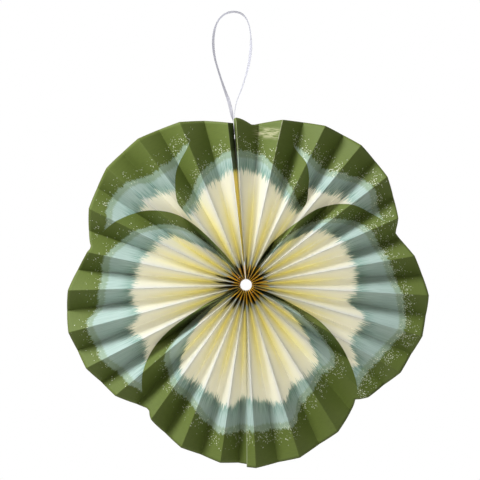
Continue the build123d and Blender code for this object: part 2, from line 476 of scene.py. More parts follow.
class PleatRecipe(Recipe):
    """Folds a block of paper, one panel from each crease to the next, and cuts it to the outline."""

    SLOPE_STEP = 0.002
    FOLD_REACH = 0.00035
    WAVE_SCALE = 22.0
    WAVE_SHIFT = 3.7

    def __init__(self, values: dict[str, Union[int, float]], finishes: Finishes) -> None:
        """Write the tree.

        Args:
            values: Number of each named input.
            finishes: Material of each kind of face.
        """
        super().__init__("folded_paper", values)
        graph = self.graph
        panels, columns = self.value("Panels"), self.value("Columns")
        block = graph.read("GeometryNodeMeshCube", {
            "Size": (1.0, 1.0, 1.0),
            "Vertices X": panels * columns + 1,
            "Vertices Y": self.value("Rows") + 1,
            "Vertices Z": 2,
        })
        across, outward, side = graph.split(graph.read("GeometryNodeInputPosition"))
        column = graph.math("ROUND", (across + 0.5) * panels * columns)
        panel = graph.math("MINIMUM", graph.math("FLOOR", (column + 0.5) / columns), panels - 1)
        facing = graph.split(graph.read("GeometryNodeInputNormal"))[2]
        block = self.store(block, "facing", facing, "FACE", "FLOAT")
        rim = self.sample("rim", column)
        hub = self.value("Hub radius")
        radius = hub + (outward + 0.5) * (rim - hub)
        point = self.surface_point(panel, self.sample("share", column), radius, graph.math("SIGN", side))
        paper = graph.join(self.sample("across", column), radius, rim - radius)
        block = self.store(block, "paper", paper, "POINT", "FLOAT_VECTOR")
        folds = graph.join(*(self.sample(name, column) for name in ("from_ridge", "from_valley", "wall")))
        block = self.store(block, "folds", folds, "POINT", "FLOAT_VECTOR")
        block = graph.read("GeometryNodeSetPosition", {"Geometry": block, "Position": point})
        self.dress(block, finishes)

    def surface_point(self, panel: Reading, share: Reading, radius: Reading, front: Reading) -> Reading:
        """Place a point of the folded paper's surface.

        Args:
            panel: Number of its panel.
            share: Share of the way across that panel.
            radius: Distance from the hub.
            front: 1 on one surface of the paper, and -1 on the other.

        Returns:
            The point.
        """
        graph = self.graph
        start = {name: self.sample(name, panel) for name in MARK_NAMES}
        end = {name: self.sample(name, panel + 1) for name in MARK_NAMES}
        here = [self.place(marks, radius) for marks in (start, end)]
        beyond = [self.place(marks, radius + self.SLOPE_STEP) for marks in (start, end)]
        middle = graph.mix("VECTOR", share, here[0][0], here[1][0])
        farther = graph.mix("VECTOR", share, beyond[0][0], beyond[1][0])
        along = graph.vector("SUBTRACT", farther, middle)
        width = graph.vector("SUBTRACT", here[1][0], here[0][0])
        normal = graph.vector("NORMALIZE", graph.vector("CROSS_PRODUCT", width, along))
        sharp = self.near_fold(share, start["fold"]).most(self.near_fold(1.0 - share, end["fold"]))
        normal = graph.vector("NORMALIZE", graph.mix("VECTOR", sharp, normal, (0.0, -1.0, 0.0)))
        waves = graph.join(panel * self.WAVE_SHIFT, radius * self.WAVE_SCALE, self.value("Seed"))
        swell = (graph.noise(waves, 1.0) - 0.5) * 2.0 * self.value("Buckle")
        swell = swell * graph.math("SINE", share * math.pi)
        reach = front * self.value("Paper thickness") / 2.0 + swell
        point = graph.vector("ADD", middle, graph.vector("SCALE", normal, reach))
        for marks, (_, turn, aside), sense in ((start, here[0], 1.0), (end, here[1], -1.0)):
            point = self.keep_to_side(point, turn, aside, sense, front * marks["fold"])
        return point

    def dress(self, block: Reading, finishes: Finishes) -> None:
        """Shade and colour the faces, and end the tree.

        Args:
            block: The folded paper.
            finishes: Material of each kind of face.
        """
        graph = self.graph
        facing = self.named("facing")
        level = abs(facing) > 0.5
        edge = 1.0 - level
        for selection, smooth in ((level, True), (edge, False)):
            block = graph.read("GeometryNodeSetShadeSmooth",
                               {"Geometry": block, "Selection": selection, "Shade Smooth": smooth})
        block = graph.read("GeometryNodeRealizeInstances", {"Geometry": block})
        chosen = {PaperFace.FRONT: facing > 0.5, PaperFace.EDGE: edge, PaperFace.BACK: facing < -0.5}
        for kind, selection in chosen.items():
            block = graph.read("GeometryNodeSetMaterial",
                               {"Geometry": block, "Selection": selection, "Material": finishes[kind]})
        self.end(block)

    def named(self, name: str) -> Reading:
        """Number that the geometry carries under a name."""
        return self.graph.read("GeometryNodeInputNamedAttribute", {"Name": name}, {"data_type": "FLOAT"})

    def sample(self, name: str, index: Reading) -> Reading:
        """Number that one of the marks carries."""
        inputs = {"Geometry": self.value("Marks"), "Value": self.named(name), "Index": index}
        return self.graph.read("GeometryNodeSampleIndex", inputs, {"data_type": "FLOAT", "domain": "POINT"})

    def store(self, geometry: Reading, name: str, value: Reading, domain: str, kind: str) -> Reading:
        """Write a number or a vector on the geometry under a name."""
        inputs = {"Geometry": geometry, "Name": name, "Value": value}
        settings = {"data_type": kind, "domain": domain}
        return self.graph.read("GeometryNodeStoreNamedAttribute", inputs, settings)

    def near_fold(self, share: Number, fold: Reading) -> Reading:
        """One at a fold, and zero a third of a millimetre away and at a plain edge."""
        return (share * self.value("Panel width")).fall(0.0, self.FOLD_REACH) * abs(fold)

    def place(self, marks: dict[str, Reading], radius: Reading) -> tuple[Reading, Reading, Reading]:
        """Point of a crease at a radius from the hub.

        Args:
            marks: What the crease's mark carries.
            radius: The radius.

        Returns:
            The point, the crease's clock angle, and its distance aside from that angle's line.
        """
        graph = self.graph
        width = self.value("Panel width")
        rim_share = self.value("Rim depth") / width
        out = radius / self.value("Widest radius")
        depth = width * graph.math("SQRT", 1.0 - (1.0 - rim_share * rim_share) * out * out)
        slope = radius * self.value("Lap half pleat") / depth
        lap_turn = self.value("Lap lift") / radius * graph.math("SQRT", slope * slope + 1.0)
        turn = marks["turn"] + marks["turn_trim"] / radius + marks["lap"] * lap_turn
        lift = marks["lift"] + marks["lift_trim"] / radius
        opened = radius * marks["opening"]
        base = self.value("Seam aside")
        aside = marks["side"] * graph.math("SQRT", base * base + opened * opened)
        sine, cosine = graph.math("SINE", turn), graph.math("COSINE", turn)
        back = marks["offset"] + lift * depth / 2.0
        point = graph.join(radius * sine + aside * cosine, back, radius * cosine - aside * sine)
        return point, turn, aside

    def keep_to_side(self, point: Reading, turn: Reading, aside: Reading, sense: float,
                     inside: Reading) -> Reading:
        """Hold the inner surface of a fold on its own side of the fold's plane.

        Args:
            point: The surface's point.
            turn: Clock angle of the crease.
            aside: Distance of the crease's plane from the hub's axis.
            sense: 1 where the panel follows the crease clockwise, and -1 where it precedes it.
            inside: 1 on the inner surface of the fold.

        Returns:
            The point, moved if need be.
        """
        graph = self.graph
        x, _, z = graph.split(point)
        sine, cosine = graph.math("SINE", turn), graph.math("COSINE", turn)
        beyond = (aside - (x * cosine - z * sine)) * sense
        push = beyond.most(0.0) * (inside > 0.5) * sense
        return graph.vector("ADD", point, graph.join(push * cosine, 0.0, push * sine * -1.0))


@dataclass
class PrintedFan:
    """The two pleated sheets, set out from the hand-folded pleats, the seam and the lap joint."""

    sizes: FanSizes = field(default_factory=FanSizes)
    left_seed: float = 8.0

    def seam_panel(self, right: bool) -> list[Crease]:
        """Set out the end panel on one side of the seam.

        Args:
            right: Whether it is the right sheet's panel.

        Returns:
            Its edge, bend and ridge, clockwise.
        """
        sizes = self.sizes
        side = 1.0 if right else -1.0
        opened = sizes.seam_open_right if right else sizes.seam_open_left
        turn = math.radians(sizes.seam_angle - FULL_TURN * right)
        free, held = sizes.seam_free_width, sizes.panel_width - sizes.seam_free_width
        edge = Crease(turn, -1.0, offset=sizes.panel_width, side=side, width=held)
        bend = Crease(turn, -1.0, offset=free, side=side, width=free if right else held)
        ridge = Crease(turn, -1.0, -1.0, side=side, opening=math.sin(math.radians(opened)),
                       width=sizes.panel_width if right else free)
        return [edge, bend, ridge] if right else [ridge, bend, edge]

    def lap_crease(self, share: float, trim: float, fold: float = 0.0, lap: float = 0.0) -> Crease:
        """Crease or edge at a share of the way across the lap joint's panel."""
        first = len(self.sizes.right_pleats)
        ridge, after = self.sizes.ridge_angles()[first:first + 2]
        span = math.radians((after - ridge) / 2)
        return Crease(math.radians(ridge) + span * share, 2 * share - 1, fold, span * trim, 2 * trim, lap=lap)

    def right_creases(self) -> list[Crease]:
        """Creases of the right sheet, clockwise from the seam to the edge of its glued tab."""
        sizes = self.sizes
        ridges = sizes.ridge_angles()[:len(sizes.right_pleats) + 1]
        creases = self.seam_panel(right=True)
        for before, ridge in zip(ridges, ridges[1:-1]):
            creases += [Crease.valley((before + ridge) / 2), Crease.ridge(ridge)]
        creases += [
            Crease.valley((ridges[-2] + ridges[-1]) / 2),
            self.lap_crease(0.0, 0.0, -1.0, 1.0),
            self.lap_crease(sizes.tab_width, -sizes.tab_hub_trim, 0.0, 1.0),
        ]
        creases[-2].width = sizes.panel_width * sizes.tab_width
        return creases

    def left_creases(self) -> list[Crease]:
        """Creases of the left sheet, clockwise from the edge under the tab to the seam."""
        sizes = self.sizes
        ridges = sizes.ridge_angles()[len(sizes.right_pleats) + 1:]
        creases = [self.lap_crease(sizes.lap_start, sizes.lap_hub_trim), self.lap_crease(1.0, 0.0, 1.0)]
        for ridge, after in zip(ridges, ridges[1:]):
            creases += [Crease.ridge(ridge), Crease.valley((ridge + after) / 2)]
        return creases + self.seam_panel(right=False)

    def build(self, finishes: Finishes) -> list[bpy.types.Object]:
        """Fold and dress both sheets."""
        right = PleatedSheet("right_printed_pleats", "right_pleated_sheet", self.right_creases(),
                             self.sizes.right_rim, self.sizes)
        left = PleatedSheet("left_printed_pleats", "left_pleated_sheet", self.left_creases(),
                            self.sizes.left_rim, self.sizes, seed=self.left_seed)
        return [sheet.build(finishes) for sheet in (right, left)]


class PetalAxis(Enum):
    """The clock angle that a petal's own curves are read from."""

    UP = 0
    RIGHT = 90
    DOWN = 180
    LEFT = 270


@dataclass(frozen=True)
class Petal:
    """One printed petal. Each curve goes from degrees off the petal's axis to millimetres from the hub.

    The edge is the petal's outline, the border is where its green begins, and the fringe is where the
    teal brush strokes end in the cream.
    """

    axis: PetalAxis
    edge: Optional[Curve]
    border: Curve
    fringe: Curve


class Pansy:
    """The printed flower: petals from the back one to the front one."""

    FARTHEST = 200.0
    HALF_SPAN = 90.0
    DEEP_INSIDE = 60.0
    SHADE_REACH = 24.0

    BACK = Petal(
        PetalAxis.UP, None,
        ((-80, 131), (-67, 131), (-58, 138), (-48, 133), (-41, 125), (-34, 124), (-22, 130), (0, 130),
         (19, 127), (34, 121), (42, 128), (52, 137), (62, 130), (75, 129)),
        ((-80, 110), (-66, 108), (-50, 111), (-36, 101), (-26, 112), (0, 112), (20, 110), (34, 100),
         (52, 113), (75, 108)),
    )
    CENTRE = Petal(
        PetalAxis.UP,
        ((-90, 0), (-41.6, 0), (-40.6, 88), (-36, 103), (-30, 118), (-22.5, 129), (-16, 150), (0, 175),
         (15, 150), (19, 127), (27, 115), (34, 96), (36.6, 86), (37.6, 0), (90, 0)),
        ((-44, 82), (-40, 85), (-35, 87), (-27, 97), (-17, 108), (-7, 115), (6, 113), (13, 105), (19, 99),
         (25, 92), (32, 84), (37, 82), (42, 81)),
        ((-44, 77), (-35, 77), (-27, 87), (-17, 92), (-7, 98), (6, 96), (13, 90), (19, 86), (25, 80),
         (32, 77), (42, 76)),
    )
    RIGHT = Petal(
        PetalAxis.RIGHT,
        ((-90, 0), (-64, 0), (-61, 27), (-59, 39), (-56, 49), (-51, 69), (-46, 92), (-37, 114), (-30, 124),
         (-24, 131), (-18, 137), (-13, 170), (90, 170)),
        ((-62, 9), (-57, 25), (-52, 43), (-47, 65), (-42, 82), (-36, 96), (-27, 113), (-15, 121), (-2, 129),
         (5, 135), (14, 141), (22, 137), (30, 130), (41, 129), (50, 128)),
        ((-60, 8), (-54, 22), (-48, 44), (-43, 60), (-36, 79), (-20, 91), (0, 95), (9, 89), (16, 106),
         (28, 102), (36, 116), (50, 116)),
    )
    LEFT = Petal(
        PetalAxis.LEFT,
        ((-90, 170), (8, 170), (13, 140), (20, 132), (26, 124), (34, 112), (40, 99), (45, 86), (49, 69),
         (52.5, 47), (57, 24), (61, 0), (90, 0)),
        ((-50, 128), (-38, 132), (-27, 139), (-15, 141), (-9, 131), (0, 125), (10, 124), (16, 118),
         (22, 111), (30, 99), (36, 88), (42, 73), (46, 52), (51, 28), (56, 10)),
        ((-50, 112), (-36, 106), (-28, 99), (-22, 107), (-15, 95), (-8, 99), (4, 95), (14, 91), (22, 85),
         (32, 79), (38, 58), (44, 40), (50, 18), (56, 8)),
    )
    FRONT = Petal(
        PetalAxis.DOWN,
        ((-90, 0), (-74, 8), (-70, 26), (-67, 43), (-64, 69), (-60, 86), (-54, 109), (-47, 130), (-43, 139),
         (-39, 170), (36, 170), (39, 139), (44, 129), (50, 115), (55, 99), (59, 79), (62, 56), (65, 34),
         (68, 8), (90, 0)),
        ((-70, 12), (-65, 39), (-60, 60), (-55, 82), (-49, 101), (-39, 103), (-25, 114), (-17, 128),
         (0, 126), (9, 129), (16, 124), (22, 115), (36, 107), (42, 101), (49, 92), (52, 80), (55, 62),
         (59, 34), (64, 8)),
        ((-66, 10), (-60, 36), (-54, 56), (-47, 77), (-41, 93), (-25, 95), (-17, 105), (0, 97), (8, 105),
         (21, 96), (36, 94), (44, 75), (50, 58), (55, 34), (62, 8)),
    )

    def __init__(self, graph: Graph, x: Reading, z: Reading, radius: Reading) -> None:
        """Start on a place of the fan.

        Args:
            graph: The material's graph.
            x: Place to the right of the hub, in metres.
            z: Place above the hub, in metres.
            radius: Distance from the hub, in millimetres.
        """
        self.graph = graph
        self.x = x
        self.z = z
        self.radius = radius

    def turned(self, axis: PetalAxis) -> Reading:
        """Clock angle from a petal's axis, in degrees from -180 to 180."""
        across, up = {
            PetalAxis.UP: (self.x, self.z),
            PetalAxis.RIGHT: (self.z * -1.0, self.x),
            PetalAxis.DOWN: (self.x * -1.0, self.z * -1.0),
            PetalAxis.LEFT: (self.z, self.x * -1.0),
        }[axis]
        return self.graph.math("ARCTAN2", across, up) * DEGREES

    def follow(self, curve: Curve, angle: Reading) -> Reading:
        """Radius of a curve at an angle, both in the curve's own units."""
        half, span = self.HALF_SPAN, 2 * self.HALF_SPAN
        points = [((degrees + half) / span, reach / self.FARTHEST) for degrees, reach in curve]
        before = [(0.0, points[0][1])] if points[0][0] > 0 else []
        after = [(1.0, points[-1][1])] if points[-1][0] < 1 else []
        return self.graph.curve(before + points + after, (angle + half) / span) * self.FARTHEST

    def lay_out(self) -> tuple[Reading, Reading, Reading, Reading]:
        """Lay the petals over each other.

        Returns:
            The radius where green begins, the radius where the teal ends and how far inside its
            petal's edge the place is, all in millimetres, and the printed shade of the petal above.
        """
        graph = self.graph
        angle = self.turned(PetalAxis.UP)
        border, fringe = self.follow(self.BACK.border, angle), self.follow(self.BACK.fringe, angle)
        inside: Number = self.DEEP_INSIDE
        shade: Number = 0.0
        for petal in (self.CENTRE, self.RIGHT, self.LEFT, self.FRONT):
            angle = self.turned(petal.axis)
            depth = self.follow(petal.edge, angle) - self.radius
            near = abs(angle) < self.HALF_SPAN - 1.0
            on = (depth > 0.0) * near
            shade = ((depth * -1.0).fall(0.0, self.SHADE_REACH) * near).most(shade) * (1.0 - on)
            border = graph.choose(on, border, self.follow(petal.border, angle))
            fringe = graph.choose(on, fringe, self.follow(petal.fringe, angle))
            inside = graph.choose(on, inside, depth)
        return border, fringe, inside, shade


class Finish:
    """A material made of nodes, with the depth of its relief in metres."""

    name = "finish"
    relief = 0.0

    def __init__(self) -> None:
        """Start an empty material."""
        self.material = bpy.data.materials.new(self.name)
        self.material.use_nodes = True
        self.graph = Graph(self.material.node_tree)

    def object_place(self) -> Reading:
        """The Object coordinates."""
        return self.graph.read("ShaderNodeTexCoord", output="Object")

    def carried(self, name: str) -> tuple[Reading, ...]:
        """Three numbers that the piece carries under a name."""
        node = self.graph.add("ShaderNodeAttribute", None, {"attribute_name": name})
        return self.graph.split(node.outputs["Vector"])

    def glow(self, colour: Colour, tint: Optional[Colour] = None, share: Number = 0.0) -> Reading:
        """Light that passes through a thin sheet, in one even colour or in a share of a second one."""
        shader = self.graph.read("ShaderNodeBsdfTranslucent", {"Color": colour})
        if tint is None:
            return shader
        tinted = self.graph.read("ShaderNodeBsdfTranslucent", {"Color": tint})
        return self.graph.read("ShaderNodeMixShader", {0: share, 1: shader, 2: tinted})

    def close(self, colour: Any, roughness: Any, height: Optional[Reading] = None,
              glow: Optional[Reading] = None, through: Number = 0.0, **plain: Any) -> bpy.types.Material:
        """Add the shader.

        Args:
            colour: Base colour.
            roughness: Roughness.
            height: Relief of the surface from 0 to 1.
            glow: Shader of the light that passes through.
            through: Share of that light.
            **plain: Values that are the same all over, by the shader's socket names, with _ for a space.

        Returns:
            The finished material.
        """
        inputs = {"Base Color": colour, "Roughness": roughness}
        inputs |= {name.replace("_", " "): value for name, value in plain.items()}
        if height is not None:
            bump = {"Strength": 1.0, "Distance": self.relief, "Height": height}
            inputs["Normal"] = self.graph.read("ShaderNodeBump", bump)
        shader = self.graph.read("ShaderNodeBsdfPrincipled", inputs)
        if glow is not None:
            shader = self.graph.read("ShaderNodeMixShader", {0: through, 1: shader, 2: glow})
        self.graph.add("ShaderNodeOutputMaterial", {"Surface": shader})
        return self.material


@dataclass(frozen=True)
class Brush:
    """A pattern of noise on the flat paper, with its scale across and along the panels per millimetre."""

    across: float
    along: float
    seed: float
    detail: float = 1.0


class PaperFinish(Finish):
    """A face of the paper. Its places on the flat strip are in millimetres."""

    FIBRES = Brush(2.6, 2.6, 2.6, 4.0)

    def __init__(self) -> None:
        """Read what the paper carries."""
        super().__init__()
        self.across, self.radius, self.from_rim = (part * MILLIMETRES for part in self.carried("paper"))
        from_ridge, from_valley, self.wall = self.carried("folds")
        self.from_ridge = from_ridge * MILLIMETRES
        self.from_valley = from_valley * MILLIMETRES

    def brushed(self, brush: Brush) -> Reading:
        """Noise of a brush, from about 0.2 to 0.8."""
        place = self.graph.join(self.across * brush.across, self.radius * brush.along, brush.seed)
        return self.graph.noise(place, 1.0, brush.detail)


class PrintedFront(PaperFinish):
    """Matt printed face of the paper: the flower, its brush strokes, specks and worn folds, with painted
    highlight, bounce light and shade on the folds and the seam wall.

    Lengths are in millimetres, but for x and z, which are in metres from the hub.
    """

    name = "printed_paper_front"
    relief = 0.00006
    GREEN = ink(98, 113, 39, 0.94)
    DEEP_GREEN = ink(82, 96, 32, 0.94)
    TEAL = ink(106, 148, 130, 1.0)
    PALE_TEAL = ink(179, 200, 192, 0.98)
    STROKE_TEAL = ink(104, 142, 134, 0.9)
    DEEP_TEAL = ink(52, 72, 56, 0.9)
    OLIVE_TEAL = ink(132, 154, 118, 1.0)
    CREAM_WITH_PAINTED_HUB_LIGHT = ink(240, 240, 226, 0.95)
    OUTER_CREAM = ink(228, 228, 218, 0.94)
    SHADED_CREAM = ink(172, 166, 146, 0.92)
    WHITE_AND_RIDGE_HIGHLIGHT = ink(224, 226, 226, 0.92)
    YELLOW = ink(250, 242, 140, 0.98)
    GOLD = ink(255, 200, 44, 1.0)
    PALE_TIP = ink(182, 208, 212, 0.92)
    DARK = ink(36, 46, 18, 0.9)
    SPECK = ink(236, 239, 212, 0.94)
    BROWN = ink(96, 82, 46, 0.9)
    RUBBED = ink(214, 216, 176, 0.92)
    SCUFFED = ink(222, 216, 172, 0.92)
    CUT = ink(204, 208, 176, 0.92)
    SEAM_SHADE_GOLD = ink(255, 222, 92, 1.0)
    SEAM_SHADE_GREEN = ink(62, 74, 32, 0.9)
    LIGHT_THROUGH = ink(247, 246, 232, 0.96)
    FIBRES = Brush(3.2, 3.2, 3.2, 4.0)
    STRANDS = Brush(0.95, 0.02, 2.0, 2.0)
    TUFTS = Brush(0.3, 0.012, 7.0)
    HAIRS = Brush(1.25, 0.045, 4.0, 2.0)
    WANDER = Brush(0.16, 0.02, 12.0)
    RAYS = Brush(0.05, 0.0, 31.0)
    SWEEPS = Brush(0.16, 0.9, 21.0, 3.0)
    GRAIN = Brush(1.3, 1.3, 11.7, 3.0)
    PATCHES = Brush(0.09, 0.07, 17.0)
    RUBBING = Brush(0.4, 0.25, 5.0, 3.0)
    DRY_BRUSH = Brush(0.1, 0.85, 3.0, 4.0)
    FRINGE_STRANDS = 26.0
    FRINGE_TUFTS = 9.0
    BORDER_HAIRS = 8.0
    BORDER_TUFTS = 5.0
    STRIP_WIDTH = 6.0
    TINT_WANDER = 50.0
    TINT_END = (26.0, 96.0)
    RAY_LENGTH = 18.5
    RAY_SPREAD = 56.0
    RAY_TAPER = 0.09
    TIP_LENGTH = 15.0
    TIP_SPREAD = 26.0
    SPECK_CELLS = ((1.3, 0.0), (1.9, 40.0))
    SCUFF_RADIUS = 132.0
    LAP_SLANT = 0.0052
    ROUGHNESS = 0.62
    LET_THROUGH = 0.62
    MORE_AT_HUB = 0.33

    def __init__(self) -> None:
        """Read the place on the fan, and the strands and hairs of the brush there."""
        super().__init__()
        self.x, _, self.z = self.graph.split(self.object_place())
        self.radius = self.graph.math("SQRT", self.x * self.x + self.z * self.z) * MILLIMETRES
        self.strands = self.brushed(self.STRANDS)
        self.hairs = self.brushed(self.HAIRS)

    def build(self) -> bpy.types.Material:
        """Make the material."""
        graph, radius = self.graph, self.radius
        border, fringe, inside, shade = Pansy(graph, self.x, self.z, radius).lay_out()
        tufts = self.brushed(self.TUFTS) - 0.5
        fringe = fringe + (self.strands - 0.5) * self.FRINGE_STRANDS + tufts * self.FRINGE_TUFTS
        ragged = border + (self.hairs - 0.5) * self.BORDER_HAIRS + tufts * self.BORDER_TUFTS
        teal_share = (radius - fringe).rise(-1.0, 1.2)
        green_share = (radius - ragged).rise(-0.5, 0.7)
        inner, solid, yellow_and_bounce_light = self.inner_colour()
        inner = graph.blend(shade * 0.5, inner, self.SHADED_CREAM)
        seam_wall = self.wall < -0.5
        crisp = self.from_ridge.fall(1.5, 5.0) * (radius.rise(20.0, 70.0) * 0.3 + 0.15)
        cover = (teal_share * 0.95).most(green_share, solid, shade * 0.25, crisp, seam_wall * 0.35)
        colour = graph.blend(teal_share, inner, self.teal_colour(fringe, border))
        colour = graph.blend(green_share, colour, self.green_colour(inside, border))
        colour = self.worn(self.speckled(colour, ragged))
        # Painted shade: the seam wall between the end panels is painted dark green in the green and deep gold
        # in the cream, standing in for the shadow and bounce light in the narrow gap.
        painted_seam_shade = graph.blend(teal_share > 0.35, self.SEAM_SHADE_GOLD, self.SEAM_SHADE_GREEN)
        colour = graph.blend(seam_wall * 0.88, colour, painted_seam_shade)
        colour = graph.blend(self.from_rim.fall(0.2, 0.7) * 0.4, colour, self.BROWN)
        fibres = self.brushed(self.FIBRES)
        thin = self.LET_THROUGH + radius.fall(25.0, 85.0) * self.MORE_AT_HUB
        glow = self.glow(self.LIGHT_THROUGH, self.YELLOW, yellow_and_bounce_light.most(seam_wall))
        return self.close(colour, self.ROUGHNESS + fibres * 0.16, fibres, glow, (1.0 - cover) * thin)

    def inner_colour(self) -> tuple[Reading, Reading, Reading]:
        """Paint the ridges white and the valleys yellow, partly as painted highlight and bounce light, the
        cream lighter towards the hub as painted light, and the gold and dark rays close to the hub, the dark
        partly painted shade.

        Returns:
            The colour, the share of thick ink that lets no light through, and the share of yellow, which is
            print and painted bounce light together.
        """
        graph, radius, away = self.graph, self.radius, self.from_ridge
        wander = (self.brushed(self.WANDER) - 0.5) * self.TINT_WANDER
        tint = (radius + wander).fall(*self.TINT_END)
        # Painted light: the cream is lighter towards the hub, standing in for the light that fills the deep
        # folds there, and calmer further out.
        paper = graph.blend(radius.rise(45.0, 95.0), self.CREAM_WITH_PAINTED_HUB_LIGHT, self.OUTER_CREAM)
        # Partly painted highlight: the paper is whiter along each ridge, where the light catches the folds.
        colour = graph.blend(away.rise(3.5, 9.0), self.WHITE_AND_RIDGE_HIGHLIGHT, paper)
        # Partly painted bounce light: the yellow deepens away from the ridges into the valleys, as light
        # bouncing between the panels tints them, on top of the print's yellow streaks towards the hub.
        yellow_and_bounce_light = tint * (away.rise(5.0, 11.0) * 0.18 + away.rise(8.0, 20.0) * 0.64)
        colour = graph.blend(yellow_and_bounce_light, colour, self.YELLOW)
        # Partly painted shade: the print's dark rays near the hub are kept to the valley side of each panel,
        # so they also darken the deep valleys where shade falls.
        length = self.brushed(self.RAYS) - 0.5
        past_ray = radius - (self.RAY_LENGTH + length * self.RAY_SPREAD - self.from_valley * self.RAY_TAPER)
        dark_ray_and_shade = past_ray.fall(-1.5, 4.0) * away.rise(6.0, 10.0)
        colour = graph.blend(dark_ray_and_shade * 0.9, colour, self.DARK)
        past_tip = radius - (self.TIP_LENGTH + length * self.TIP_SPREAD)
        pale = past_tip.fall(2.0, 10.0) * away.fall(4.0, 9.0)
        colour = graph.blend(pale * 0.7, colour, self.PALE_TIP)
        gilt = past_tip.fall(0.0, 1.5) * away.fall(8.0, 11.0)
        return graph.blend(gilt, colour, self.GOLD), dark_ray_and_shade.most(gilt.most(pale) * 0.7), yellow_and_bounce_light.most(gilt)

    def teal_colour(self, fringe: Reading, border: Reading) -> Reading:
        """Paint pale brush strokes with darker hairs where they end, and an olive strip at the border.

        Args:
            fringe: Radius where the strokes end.
            border: Radius where the green begins.

        Returns:
            The colour.
        """
        graph, radius, hairs = self.graph, self.radius, self.hairs
        near = (radius - fringe).fall(2.0, 13.0)
        hair = hairs.rise(0.47, 0.55)
        colour = graph.blend(near * 0.2 + hair * (0.2 + near * 0.45), self.PALE_TEAL, self.TEAL)
        colour = graph.blend(self.strands.rise(0.54, 0.6) * near * 0.5, colour, self.STROKE_TEAL)
        strip = (radius - border + self.STRIP_WIDTH + (hairs - 0.5) * 7.0).rise(-0.6, 1.4)
        colour = graph.blend(strip * 0.7, colour, self.OLIVE_TEAL)
        return graph.blend(radius.fall(25.0, 70.0) * hairs.rise(0.4, 0.6) * 0.65, colour, self.DEEP_TEAL)

    def green_colour(self, inside: Reading, border: Reading) -> Reading:
        """Paint brushed green, deeper towards the hub and where one petal dips under the next.

        Args:
            inside: Distance inside the petal's edge.
            border: Radius where the green begins.

        Returns:
            The colour.
        """
        sweeps, grain = self.brushed(self.SWEEPS), self.brushed(self.GRAIN)
        near = (self.radius - border).fall(0.0, 8.0)
        deep = sweeps.rise(0.4, 0.7) * 0.28 + near * 0.2 + grain.rise(0.5, 0.75) * 0.15
        colour = self.graph.blend(deep, self.GREEN, self.DEEP_GREEN)
        low = self.radius.fall(30.0, 110.0) * inside.rise(7.0, 26.0)
        return self.graph.blend(low * 0.85, colour, self.DARK)

    def speckled(self, colour: Reading, border: Reading) -> Reading:
        """Add fine pale paint specks, thick along the border and thickest at the upper right.

        Args:
            colour: Colour under the specks.
            border: Radius where the green begins.

        Returns:
            The colour with its specks.
        """
        graph = self.graph
        more = (self.x * 0.8 + abs(self.z) * 0.5).rise(-0.06, 0.16)
        beyond = self.radius - border
        crowd = beyond.rise(-8.0, 0.0) * beyond.fall(2.0, 17.0)
        patch = self.brushed(self.PATCHES).rise(0.35, 0.62)
        share = crowd * (0.06 + 0.54 * patch) * (0.2 + 0.8 * more)
        for cell, seed in self.SPECK_CELLS:
            place = graph.join(self.across / cell + seed, self.radius / cell, 0.0)
            spots = graph.add("ShaderNodeTexVoronoi", {"Vector": place, "Scale": 1.0, "Randomness": 1.0},
                              {"voronoi_dimensions": "2D"})
            red, green, _ = graph.split(spots.outputs["Color"])
            size = 0.12 + green * 0.18
            dot = (Reading(graph, spots.outputs["Distance"]) - size).fall(-0.05, 0.05)
            colour = graph.blend((red < share) * dot * 0.92, colour, self.SPECK)
        return colour

    def worn(self, colour: Reading) -> Reading:
        """Add the rubbed ink and dry brush strokes beside the seam, and the pale cut edge of the lap.

        Args:
            colour: Colour of the whole print.

        Returns:
            The worn colour.
        """
        graph, radius = self.graph, self.radius
        turn = graph.math("ARCTAN2", self.x, self.z) * DEGREES
        second = turn.rise(10.5, 12.0) * turn.fall(13.0, 14.5) * radius.rise(100.0, 112.0)
        first = turn.rise(-5.0, -4.0) * turn.fall(-3.0, -2.0) * radius.rise(92.0, 100.0)
        rubbed = self.brushed(self.RUBBING).rise(0.3, 0.6)
        line = self.from_ridge.fall(0.2, 0.6) * (second * 0.75 + first * 0.5) * rubbed
        colour = graph.blend(line, colour, self.RUBBED)
        middle = abs(radius - self.SCUFF_RADIUS).fall(1.5, 6.5)
        dry = self.brushed(self.DRY_BRUSH).rise(0.42, 0.56)
        scuff = middle * turn.rise(1.5, 6.0) * turn.fall(11.0, 13.5) * dry
        colour = graph.blend(scuff * 0.62, colour, self.SCUFFED)
        beside = abs(self.x * MILLIMETRES - radius * self.LAP_SLANT)
        cut = beside.fall(0.15, 0.45) * (self.z < 0.0) * radius.rise(108.0, 122.0)
        return graph.blend(cut * 0.38, colour, self.CUT)


class PlainBack(PaperFinish):
    """Unprinted face of the paper: warm off-white with faint fibres."""

    name = "plain_paper_back"
    relief = 0.00007
    PAPER = ink(238, 235, 226, 0.95)
    FIBRE = ink(231, 227, 215, 0.95)
    CLOUD = ink(228, 222, 206, 0.95)
    CREASE = ink(214, 208, 192, 0.95)
    LIGHT_THROUGH = ink(240, 237, 228, 0.95)
    CLOUDS = Brush(0.08, 0.08, 0.48, 2.0)

    def build(self) -> bpy.types.Material:
        """Make the material."""
        graph = self.graph
        fibres = self.brushed(self.FIBRES)
        colour = graph.blend(fibres.rise(0.3, 0.7), self.PAPER, self.FIBRE)
        colour = graph.blend(self.brushed(self.CLOUDS).rise(0.4, 0.65) * 0.35, colour, self.CLOUD)
        near = graph.math("MINIMUM", self.from_ridge, self.from_valley)
        colour = graph.blend(near.fall(0.1, 0.5) * 0.5, colour, self.CREASE)
        return self.close(colour, 0.72 + fibres * 0.15, fibres, self.glow(self.LIGHT_THROUGH), 0.5)


